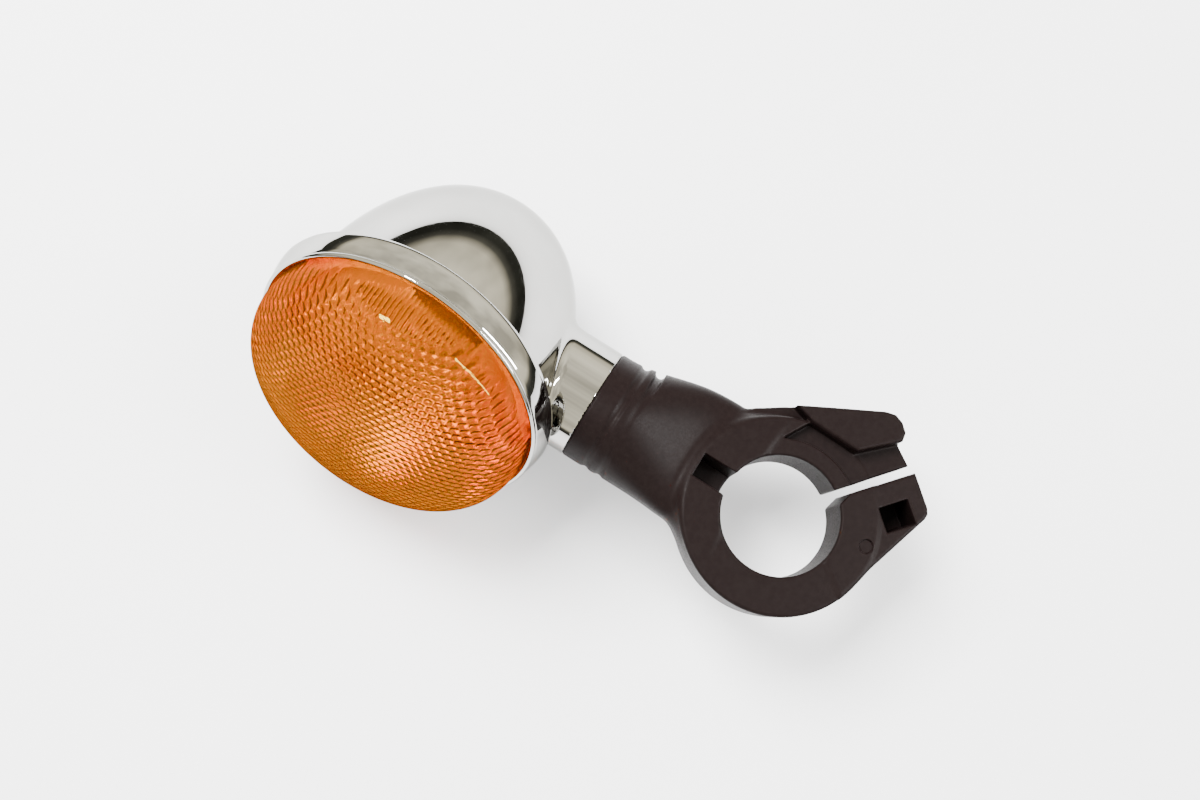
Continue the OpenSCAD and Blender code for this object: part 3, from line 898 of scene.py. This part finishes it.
def make_spring():
    """One coil with closed ends, built at the contact spring's length; the bulb's push shortens the real
    spring.
    """
    wire, turns, steps, sides = 0.42, 4.5, 220, 12
    closed_turns = 0.6
    sharp_angle = 50
    points = nodes["contact_spring"].data.vertices
    places = np.array([head_inverse @ (point.co / mm) for point in points])
    low, high = places[:, 2].min(), places[:, 2].max()
    coil_r = np.hypot(places[:, 0], places[:, 1]).max() - wire
    verts = []
    for i in range(steps + 1):
        share = i / steps
        turn = 2 * math.pi * turns * share
        rise = ease((share * turns - closed_turns) / (turns - 2 * closed_turns))
        climb = low + wire + (high - low - 2 * wire) * rise
        for k in range(sides):
            around = 2 * math.pi * k / sides
            r = coil_r + wire * math.cos(around)
            verts.append((r * math.cos(turn), r * math.sin(turn), climb + wire * math.sin(around)))
    caps = [tuple(range(sides - 1, -1, -1)), tuple(steps * sides + k for k in range(sides))]
    faces = caps + band_faces(steps, sides)
    piece = tidy_mesh(new_object("coil_spring", to_row(verts), faces), sharp_angle)
    finish_piece(piece, "contact_spring", "spring_steel")
    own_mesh(piece)
    return piece


# ---- Carried-over nodes, floor, lights and camera ----

def dress_frame(kept):
    """Gives the nodes that stay as they are their slots' materials."""
    sharp_angle = 32
    slots = {part["node"]: part["material_slot"] for part in frame["record"]["subparts"]}
    for name, piece in nodes.items():
        if name in kept:
            dress(piece, slots[name])
            piece.data.shade_smooth()
            piece.data.set_sharp_from_angle(angle=math.radians(sharp_angle))


def make_floor(level):
    size = 1.6
    bpy.ops.mesh.primitive_plane_add(size=size, location=(0, 0, level))
    floor = bpy.context.object
    floor.name = "floor"
    floor.data.materials.append(plain("floor_white", 0.86, 0.9, 0.6, 0.7, 3, 200, 0.02, 0.05))


def make_room():
    """Pale surroundings, which gloss sees as a warm grey room with a dark line round the horizon."""
    pale = (2.2, 2.2, 2.2, 1)
    room_shades = (
        (0.01, (0.07, 0.07, 0.055)),
        (0.07, (0.20, 0.19, 0.15)),
        (0.15, (1.55, 1.42, 1.08)),
        (0.60, (1.95, 1.82, 1.45)),
    )
    world = bpy.data.worlds.new("studio")
    world.use_nodes = True
    tree = world.node_tree
    place = tree.nodes.new("ShaderNodeTexCoord")
    split = tree.nodes.new("ShaderNodeSeparateXYZ")
    tree.links.new(place.outputs["Generated"], split.inputs["Vector"])
    walls = tree.nodes.new("ShaderNodeValToRGB")
    stops = walls.color_ramp.elements
    stops.remove(stops[1])
    for i, (height, shade) in enumerate(room_shades):
        stop = stops.new(height) if i else stops[0]
        stop.position = height
        stop.color = (*shade, 1)
    tree.links.new(split.outputs["Z"], walls.inputs["Fac"])
    patches = tree.nodes.new("ShaderNodeTexNoise")
    patches.inputs["Scale"].default_value = 1.7
    patches.inputs["Detail"].default_value = 3
    tree.links.new(place.outputs["Generated"], patches.inputs["Vector"])
    patched = tree.nodes.new("ShaderNodeMix")
    patched.data_type = "RGBA"
    patched.blend_type = "MULTIPLY"
    patched.inputs["Factor"].default_value = 1
    tree.links.new(walls.outputs["Color"], patched.inputs["A"])
    tree.links.new(ramp(tree, patches.outputs["Fac"], 0.50, 1.10, 0.36, 0.60), patched.inputs["B"])
    seen = tree.nodes.new("ShaderNodeLightPath")
    pick = tree.nodes.new("ShaderNodeMix")
    pick.data_type = "RGBA"
    pick.inputs["A"].default_value = pale
    tree.links.new(seen.outputs["Is Glossy Ray"], pick.inputs["Factor"])
    tree.links.new(patched.outputs["Result"], pick.inputs["B"])
    tree.links.new(pick.outputs["Result"], tree.nodes["Background"].inputs["Color"])
    bpy.context.scene.world = world


def add_light(name, place, aim, size, power):
    """Rectangular light: place, aim and size in metres, power in watts."""
    lamp = bpy.data.lights.new(name, "AREA")
    lamp.shape = "RECTANGLE"
    lamp.size, lamp.size_y = size
    lamp.energy = power
    holder = bpy.data.objects.new(name, lamp)
    holder.location = place
    holder.rotation_euler = (Vector(aim) - Vector(place)).to_track_quat("-Z", "Y").to_euler()
    bpy.context.scene.collection.objects.link(holder)
    return holder


def make_lights():
    """Two soft lights that gloss doesn't see, and two that make the lens's highlights."""
    middle = Vector((-0.06, 0, 0))
    key = add_light("key", (-0.50, 0.15, 0.80), middle, (0.45, 0.45), 38)
    fill = add_light("fill", (0.50, 0.30, 0.75), middle, (0.5, 0.5), 9)
    for lamp in (key, fill):
        lamp.visible_glossy = False
    lens_place = head_matrix @ Vector((0, 20, bead_z + dome_h)) * mm
    distance = 0.8
    strip_width = 0.040
    # Directions from the lens to the spot and to the strip's two ends
    spot_way = Vector((-0.362, -0.076, 0.929))
    strip_ways = (Vector((0.553, 0.196, 0.810)), Vector((0.932, 0.163, 0.322)))
    spot = add_light("spot", lens_place + spot_way * distance, lens_place, (0.11, 0.11), 10)
    start, end = (lens_place + way * distance for way in strip_ways)
    strip_place = (start + end) / 2
    strip = add_light("strip", strip_place, lens_place, ((end - start).length, strip_width), 11)
    across = (end - start).normalized()
    facing = (strip_place - lens_place).normalized()
    strip.rotation_euler = Matrix((across, facing.cross(across), facing)).transposed().to_euler()
    for lamp in (spot, strip):
        lamp.visible_diffuse = False
        lamp.visible_transmission = False


def make_camera():
    place = (-0.0478, -0.0575, 0.3581)
    rightward = Vector((0.8478, 0.5266, 0.0623)).normalized()
    back = Vector((0.0294, -0.1641, 0.9860)).normalized()
    lens = bpy.data.cameras.new("camera")
    lens.sensor_width = 36
    lens.lens = 39
    lens.clip_start = 0.01
    camera = bpy.data.objects.new("camera", lens)
    up = back.cross(rightward).normalized()
    right = up.cross(back)
    turn = Matrix((right, up, back)).transposed().to_4x4()
    camera.matrix_world = Matrix.Translation(place) @ turn
    bpy.context.scene.collection.objects.link(camera)
    bpy.context.scene.camera = camera


remade = {"lens", "rim_bezel", "housing_bowl", "clamp_arm", "contact_spring"}
floor_gap = 0.0005

finishes = make_materials()
make_camera()
make_lens()
make_rim()
make_bowl()
make_arm()
make_spring()
dress_frame(set(nodes) - remade)
make_floor(cad_box[0][2] - floor_gap)
make_room()
make_lights()
